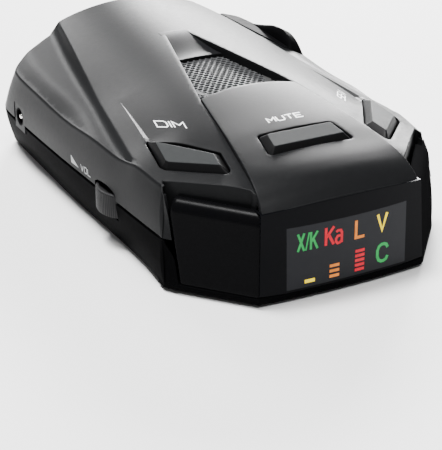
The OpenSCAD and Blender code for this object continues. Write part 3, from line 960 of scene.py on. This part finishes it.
# ---------------------------------------------------------------- buttons
def make_button(name, facing, face):
    """A button cap with sloped sides, a soft edge and a slightly dished top. The cap is coloured much darker than
    the face plate laid on its top, a painted shade on its sloped sides.
    """
    build = Builder()
    base = soften(face, 0.8)
    rings = []
    steps = [(0.0, -1.6), (0.0, -0.3), (-0.12, -0.1), (-1.0, BUTTON_RISE - 0.3), (-1.16, BUTTON_RISE - 0.1),
             (-1.25, BUTTON_RISE - 0.04), (-1.5, BUTTON_RISE - 0.04)]
    for grow, z in steps:
        ring = base if grow == 0 else soften(shrunk(face, -grow), max(0.25, 0.8 + grow * 0.5))
        rings.append(facing.plan(matched(ring, len(base)), z))
    build.rings(rings)
    build.fan(rings[-1], rings[-1].mean(0) - facing.turn[:, 2] * 0.03)
    build.fan(rings[0][::-1], facing.to_case([[0, 0, -1.6]])[0])
    own = f"{name}_button"
    build.finish(f"{name}_cap", BUTTON_PAINTED_SHADE, body=own, node=own, sharp=24)
    face_plate = Builder()
    rims = ((-1.2, BUTTON_RISE - 0.08), (-1.24, BUTTON_RISE - 0.01), (-1.36, BUTTON_RISE + 0.02))
    rings = [facing.plan(soften(shrunk(face, -grow), 0.3), z) for grow, z in rims]
    rings = [matched(ring, len(rings[-1])) for ring in rings]
    face_plate.rings(rings)
    face_plate.fan(rings[-1], rings[-1].mean(0))
    face_plate.finish(f"{name}_face", BUTTON, body=own, sharp=8)


def matched(ring, count):
    """The same ring with as many points as another."""
    return ring[np.linspace(0, len(ring) - 1, count).round().astype(int)]


def shrunk(corners, distance):
    """A polygon with every side moved inwards by the distance."""
    n = len(corners)
    x, y = corners.T
    area = np.sum(x * np.roll(y, -1) - y * np.roll(x, -1))
    turn = 1 if area > 0 else -1
    lines = []
    for i in range(n):
        d = corners[(i + 1) % n] - corners[i]
        d = d / np.linalg.norm(d)
        inward = np.array([-d[1], d[0]]) * turn
        lines.append((corners[i] + inward * distance, d))
    out = []
    for i in range(n):
        (p, d), (q, e) = lines[i - 1], lines[i]
        t = ((q - p)[0] * e[1] - (q - p)[1] * e[0]) / (d[0] * e[1] - d[1] * e[0])
        out.append(p + d * t)
    return np.array(out)


make_button("mute", MUTE, MUTE_FACE)
make_button("dim", DIM, SIDE_FACE)
make_button("sen", SEN, SIDE_FACE)


# ---------------------------------------------------------------- volume wheel
def make_wheel():
    """The thumbwheel: a drum with fine notches round its rim and softened edges."""
    x, y, _ = joint_centre("volume_turn")
    low, high = box_mm("volume_wheel")
    r = (high[1] - low[1]) / 2
    teeth, per = 84, 6
    t = np.arange(teeth * per) * 2 * math.pi / (teeth * per)
    notch = 0.07 * np.clip(np.cos(t * teeth) * 1.6 - 0.2, 0, 1)
    bottom, top = low[2], high[2]
    recess_low, recess_high, hub = bottom + 0.3, top - 0.35, 1.6
    build = Builder()
    rings = []
    for inset, z in ((3.0, recess_low), (0.9, recess_low), (0.75, bottom), (0.35, bottom), (0.1, bottom + 0.12),
                     (0.0, bottom + 0.4), (0.0, top - 0.45), (0.1, top - 0.15), (0.35, top), (0.8, top),
                     (0.95, recess_high), (3.0, recess_high)):
        deep = notch * (1.0 if inset < 0.4 else 0.0)
        rings.append(level(circle(x, y, r - inset - deep, len(t)), z))
    build.rings(rings)
    bore = [level(circle(x, y, hub, len(t)), z) for z in (recess_low, recess_high)]
    build.rings([rings[0], bore[0]])
    build.rings([rings[-1], bore[1]])
    build.rings(bore)
    build.finish("thumbwheel", WHEEL, body="volume_wheel", node="volume_wheel", sharp=40)


# ---------------------------------------------------------------- power socket
def make_jack():
    """The socket's face in its recess, a metal rim, the bore and the centre pin."""
    pin_low, pin_high = box_mm("jack_pin")
    y, z = (pin_low[1] + pin_high[1]) / 2, (pin_low[2] + pin_high[2]) / 2
    bore = 1.75
    t = np.arange(48) * 2 * math.pi / 48

    def ring(x, r):
        return np.column_stack([np.full(48, x), y + r * np.cos(t), z + r * np.sin(t)])

    mouth = -side_wall_x(y, z) + 0.12
    face = Builder()
    s = 1 / np.maximum(np.abs(np.cos(t)), np.abs(np.sin(t)))
    plate_half, plate_drop = 2.98, 0.25
    plate = ring(mouth, plate_half * s) - [0, 0, plate_drop]
    face.rings([plate + [2.2, 0, 0], plate, ring(mouth, bore + 0.45), ring(mouth + 0.12, bore + 0.3)])
    face.finish("socket_face", CASE, node="dc_jack", sharp=30)
    rim = Builder()
    rim.rings([ring(mouth + 0.12, bore + 0.31), ring(mouth + 0.04, bore + 0.25), ring(mouth + 0.04, bore + 0.1),
               ring(mouth + 0.12, bore), ring(mouth + 8.0, bore), ring(mouth + 8.0, 0.01)])
    rim.finish("socket_sleeve", SLEEVE_AND_PAINTED_SHADE, sharp=30)
    pin = Builder()
    r = (pin_high[1] - pin_low[1]) / 2
    tip = mouth + 0.1
    steps = ((tip, 0.01), (tip, r * 0.45), (tip + 0.12, r * 0.8), (tip + 0.4, r), (pin_high[0], r))
    pin.rings([ring(x, radius) for x, radius in steps])
    pin.finish("socket_pin", PLATED, node="jack_pin", sharp=40)


make_wheel()
make_jack()


# ---------------------------------------------------------------- lettering and icons
GLYPHS = {
    "D": [[(0, 0), (0, 1), (0.8, 1), (1, 0.8), (1, 0.2), (0.8, 0), (0, 0)]],
    "I": [[(0.5, 0), (0.5, 1)]],
    "M": [[(0, 0), (0, 1), (0.5, 0.42), (1, 1), (1, 0)]],
    "U": [[(0, 1), (0, 0.2), (0.16, 0), (0.84, 0), (1, 0.2), (1, 1)]],
    "T": [[(0, 1), (1, 1)], [(0.5, 1), (0.5, 0)]],
    "E": [[(1, 1), (0, 1), (0, 0), (1, 0)], [(0, 0.5), (0.85, 0.5)]],
    "S": [[(1, 1), (0.15, 1), (0, 0.86), (0, 0.64), (0.15, 0.5), (0.85, 0.5), (1, 0.36), (1, 0.14), (0.85, 0),
           (0, 0)]],
    "N": [[(0, 0), (0, 1), (1, 0), (1, 1)]],
    "V": [[(0, 1), (0.5, 0), (1, 1)]],
    "O": [[(0, 0.2), (0, 0.8), (0.2, 1), (0.8, 1), (1, 0.8), (1, 0.2), (0.8, 0), (0.2, 0), (0, 0.2)]],
    "L": [[(0, 1), (0, 0), (1, 0)]],
    "X": [[(0, 0), (1, 1)], [(0, 1), (1, 0)]],
    "K": [[(0, 0), (0, 1)], [(1, 1), (0.08, 0.45)], [(0.32, 0.62), (1, 0)]],
    "/": [[(0, 0), (1, 1)]],
    "a": [[(0.05, 0.66), (0.3, 0.74), (0.75, 0.72), (0.92, 0.58), (0.92, 0)],
          [(0.92, 0.42), (0.3, 0.42), (0.05, 0.28), (0.05, 0.12), (0.3, 0), (0.65, 0.02), (0.92, 0.16)]],
    "C": [[(1, 0.74), (0.86, 0.93), (0.62, 1), (0.38, 1), (0.14, 0.9), (0, 0.68), (0, 0.32), (0.14, 0.1), (0.38, 0),
           (0.62, 0), (0.86, 0.07), (1, 0.26)]],
}


def ribbon(line, width, step):
    """The two edges of a stroke along a line, mitred at its corners, with points at about the given step."""
    line = np.asarray(line, float)
    closed = np.allclose(line[0], line[-1])
    d = np.diff(line, axis=0)
    d /= np.linalg.norm(d, axis=1)[:, None]
    normal = np.column_stack([-d[:, 1], d[:, 0]])
    left, right = [], []
    for i, p in enumerate(line):
        before = normal[i - 1] if i else (normal[-1] if closed else normal[0])
        after = normal[i] if i < len(normal) else (normal[0] if closed else normal[-1])
        m = before + after
        m = m / max(m @ m / 2, 0.35)
        left.append(p + m * width / 2)
        right.append(p - m * width / 2)
    count = [max(1, int(np.linalg.norm(line[i + 1] - line[i]) / step)) for i in range(len(line) - 1)]
    return resample(np.array(left), step, count), resample(np.array(right), step, count)


def lettering(build, text, place_point, size, gap, width, step=0.15, thick=0.03):
    """Writes text as thin raised strokes. place_point takes (x, y, lift) on the label to the case."""
    x = 0.0
    for glyph in text:
        wide = size[0] * {"I": 0.0, "/": 0.55, "a": 0.85}.get(glyph, 1.0)
        for line in GLYPHS[glyph]:
            points = np.array([(x + (0 if glyph == "I" else px * wide), py * size[1]) for px, py in line])
            left, right = ribbon(points, width, step)
            strands = ((left, 0.0), (left, thick), ((left + right) / 2, thick), (right, thick), (right, 0.0))
            rows = [np.array([place_point(*p, lift) for p in strand]) for strand, lift in strands]
            build.rings(rows, closed=False)
        x += wide + gap


def on_surface(origin, across, up, height):
    """Lays a label on the case: a skewed frame in plan, lifted onto the surface."""
    origin, across, up = (np.array(v, float) for v in (origin, across, up))

    def at(x, y, lift):
        p = origin + across * x + up * y
        return (p[0], p[1], float(height(p[0], p[1])) + lift)

    return at


def make_labels():
    build = Builder()
    dim_along, dim_up = np.array([4.0, -6.1]) / 7.3, np.array([0.5, 3.1]) / 3.14
    sen_along, sen_up = dim_along * [1, -1], dim_up * [-1, 1]
    lettering(build, "DIM", on_surface((-22.3, -14.1), dim_along, dim_up, shell_z), (2.7, 2.6), 0.75, 0.36)
    lettering(build, "MUTE", on_surface((-3.9, -28.2), (1, 0), (0.08, 1), panel_z), (1.62, 1.75), 0.5, 0.34)
    lettering(build, "SEN", on_surface((18.8, -21.0), sen_along, sen_up, shell_z), (1.85, 2.5), 0.62, 0.36)
    build.finish("key_labels", PRINT, sharp=60)
    side = Builder()

    def on_wall(x, y, lift):
        along = 4.6 - x
        z = 12.35 + y
        return (-(side_wall_x(along, z) + lift), along, z)

    lettering(side, "VOL", lambda x, y, lift: on_wall(x + 4.8, y, lift), (1.25, 1.35), 0.42, 0.2)
    wedge = [(0, 0), (3.6, 0), (0, 1.7)]
    top = [on_wall(*p, 0.03) for p in wedge]
    base = [on_wall(*p, -0.05) for p in wedge]
    side.add([*base, *top], [(3, 4, 5), (0, 1, 4, 3), (1, 2, 5, 4), (2, 0, 3, 5)])
    side.finish("volume_label", PRINT_DIM, sharp=60)


def make_icons():
    """Each lit icon is its own piece on the face of the lens, in place of its CAD node."""
    def at(x0, z0):
        return lambda x, y, lift: lens_surface(x0 + x, z0 + y, 0.02 + lift)

    def icon(name, node, colour, draw):
        build = Builder()
        draw(build)
        build.finish(name, LIT[colour], node=node, sharp=60)

    icon("lit_xk", "icon_xk", "green", lambda b: (
        lettering(b, "X", at(-10.85, 10.65), (1.35, 3.7), 0, 0.47),
        lettering(b, "/", at(-9.15, 10.65), (1.3, 3.7), 0, 0.3),
        lettering(b, "K", at(-8.05, 10.65), (1.45, 3.7), 0, 0.47)))
    icon("lit_ka", "icon_ka", "red", lambda b: (
        lettering(b, "K", at(-4.75, 10.75), (1.75, 3.8), 0, 0.56),
        lettering(b, "a", at(-2.55, 10.75), (1.75, 3.7), 0, 0.52)))
    icon("lit_l", "icon_l", "orange", lambda b: lettering(b, "L", at(2.1, 10.95), (2.0, 3.7), 0, 0.62))
    icon("lit_v", "icon_v", "yellow", lambda b: lettering(b, "V", at(7.25, 11.1), (2.25, 3.6), 0, 0.62))
    icon("lit_c", "icon_c", "green", lambda b: lettering(b, "C", at(7.45, 4.3), (2.5, 3.7), 0, 0.64))

    def bars(build, x, z0, count, width, height, pitch):
        for z in z0 + pitch * np.arange(count):
            rows = [np.array([lens_surface(px, pz, lift) for px in np.linspace(x, x + width, 9)])
                    for pz, lift in ((z, 0.02), (z, 0.05), (z + height, 0.05), (z + height, 0.02))]
            build.rings(rows, closed=False)

    icon("lit_low", "bars_low", "yellow", lambda b: bars(b, -9.3, 3.6, 1, 2.25, 0.75, 1))
    icon("lit_mid", "bars_mid", "orange", lambda b: bars(b, -3.75, 3.55, 3, 2.2, 0.62, 1.12))
    icon("lit_high", "bars_high", "red", lambda b: bars(b, 2.1, 3.55, 5, 2.2, 0.62, 1.02))


make_labels()
make_icons()


# ---------------------------------------------------------------- windscreen end and underside
def soft_plate(name, node, material, radius=0.35):
    """A flat CAD plate given rounded edges."""
    source = frame["nodes"][node]
    mesh = source.data.copy()
    work = bmesh.new()
    work.from_mesh(mesh)
    bmesh.ops.remove_doubles(work, verts=work.verts, dist=2e-6)
    bmesh.ops.dissolve_limit(work, angle_limit=0.02, verts=work.verts, edges=work.edges)
    sharp = [e for e in work.edges if len(e.link_faces) == 2 and e.calc_face_angle(0) > 0.5]
    bmesh.ops.bevel(
        work, geom=sharp, offset=radius * MM, segments=4, profile=0.5, affect="EDGES", clamp_overlap=True
    )
    work.to_mesh(mesh)
    work.free()
    mesh.materials.clear()
    mesh.materials.append(material)
    shade(mesh, 35)
    return place(add_object(name, mesh), "case", node)


soft_plate("laser_lens", "laser_window", WINDOW)
soft_plate("bracket_guide", "bracket_socket", INNER, 0.2)


def make_wing_painted_shade():
    """A dark sheet over the right wing, painted shade where the wing lies in shadow: a thin near-black cover that
    follows it, and a swell along its outer edge.
    """
    cover = Builder()
    corners = [(23.8, 46.3), (30.6, 43.4), (33.0, 40.6), (33.8, 37.4), (33.9, 21.2), (29.0, 21.4)]
    loop = soften(np.array(corners, float), 0.8, 0.6)
    thick = 0.3
    out = outward(loop)
    rims = [loop + out * d for d in (0.18, 0.14, 0.0)]
    lifts = (-0.5, thick - 0.12, thick)
    cover.rings([np.column_stack([rim, shell_z(*rim.T) + lift]) for rim, lift in zip(rims, lifts)])
    cover.fill([loop], lambda x, y: shell_z(x, y) + thick, 0.8)
    cover.finish("wing_painted_shade_cover", SLEEVE_AND_PAINTED_SHADE, node="side_lens", sharp=40)
    swell = Builder()
    height = smooth_curve((20.7, 0), (21.4, 1.5), (22.6, 2.5), (24.8, 3.3), (29.7, 3.1), (35, 1.6), (41.4, 0.0))
    rows = []
    for y in np.linspace(20.7, 41.4, 60):
        outer = np.interp(-y, -TOP[4:9, 1], TOP[4:9, 0]) - 0.3
        across = np.linspace(0, 1, 22)
        x = 29.6 + (outer - 29.6) * across
        crown = np.minimum(1, 1.25 * np.sqrt(np.sin(math.pi * np.clip(across, 0, 1))))
        rows.append(np.column_stack([x, np.full(22, y), shell_z(x, np.full(22, y)) + height(y) * crown]))
    swell.rings(rows, closed=False)
    swell.finish("wing_painted_shade_swell", SLEEVE_AND_PAINTED_SHADE, sharp=50)


make_wing_painted_shade()


def make_feet():
    top = box_mm("rubber_feet")[1][2]
    build = Builder()
    r = 3.0
    steps = ((0.01, top), (r - 0.05, top), (r, top - 0.1), (r, 0.3), (r - 0.1, 0.1), (r - 0.35, 0.0), (0.01, 0.0))
    for x, y in four_places("rubber_feet", r):
        build.rings([level(circle(x, y, radius, 40), z) for radius, z in steps])
    build.finish("feet", SOFT, node="rubber_feet", sharp=40)


def make_screws():
    """Pan-head screws with a cross recess, seen from below."""
    top = box_mm("case_screws")[1][2]
    r, shank = 2.4, 1.25
    t = np.arange(64) * 2 * math.pi / 64
    cross = np.minimum(1.0, 0.32 / np.maximum(np.abs(np.sin(2 * t)) ** 0.8, 0.25))
    steps = ((shank, top), (shank, 2.2), (r, 2.2), (r, 1.5), (r * 0.93, 1.2), (r * 0.75, 1.03),
             (1.35 * cross, 1.0), (1.2 * cross, 1.7), (0.01, 1.75))
    build = Builder()
    for x, y in four_places("case_screws", r):
        build.rings([level(circle(x, y, radius, 64), z) for radius, z in steps])
    build.finish("screws", STEEL, node="case_screws", sharp=35)


make_feet()
make_screws()


# ---------------------------------------------------------------- stage and light
def make_stage():
    data = bpy.data.meshes.new("floor")
    data.from_pydata([(-3, -3, 0), (3, -3, 0), (3, 3, 0), (-3, 3, 0)], [], [(0, 1, 2, 3)])
    floor = add_object("floor", data)
    material, tree, bsdf = new_material("floor")
    paper = shades(tree, noise(tree, 3, 3), (0.80, 0.80, 0.80), (0.84, 0.84, 0.84))
    tree.links.new(paper, bsdf.inputs["Base Color"])
    bsdf.inputs["Roughness"].default_value = 0.7
    data.materials.append(material)
    world = bpy.data.worlds.new("studio")
    bpy.context.scene.world = world
    world.use_nodes = True
    sky = world.node_tree.nodes["Background"]
    sky.inputs["Color"].default_value = (1, 1, 1, 1)
    sky.inputs["Strength"].default_value = 0.25


def area_light(name, place_at, target, size, power):
    data = bpy.data.lights.new(name, "AREA")
    data.shape = "RECTANGLE"
    data.size, data.size_y = size
    data.energy = power
    spot = Vector(place_at)
    turn = (Vector(target) - spot).to_track_quat("-Z", "Y").to_matrix()
    add_object(name, data).matrix_world = Matrix.Translation(spot) @ turn.to_4x4()


make_stage()
area_light("key", (0.95, 1.25, 0.54), (0.0, 0.0, 0.02), (0.75, 0.4), 92)
area_light("back", (0.02, 1.5, 0.78), (0.0, 0.0, 0.02), (0.5, 0.6), 22)
area_light("flood", (-0.3, 0.4, 1.9), (0, 0, 0.0), (0.55, 0.55), 100)
area_light("front", (-0.18, -0.8, 1.55), (0, 0, 0.0), (0.6, 0.5), 24)
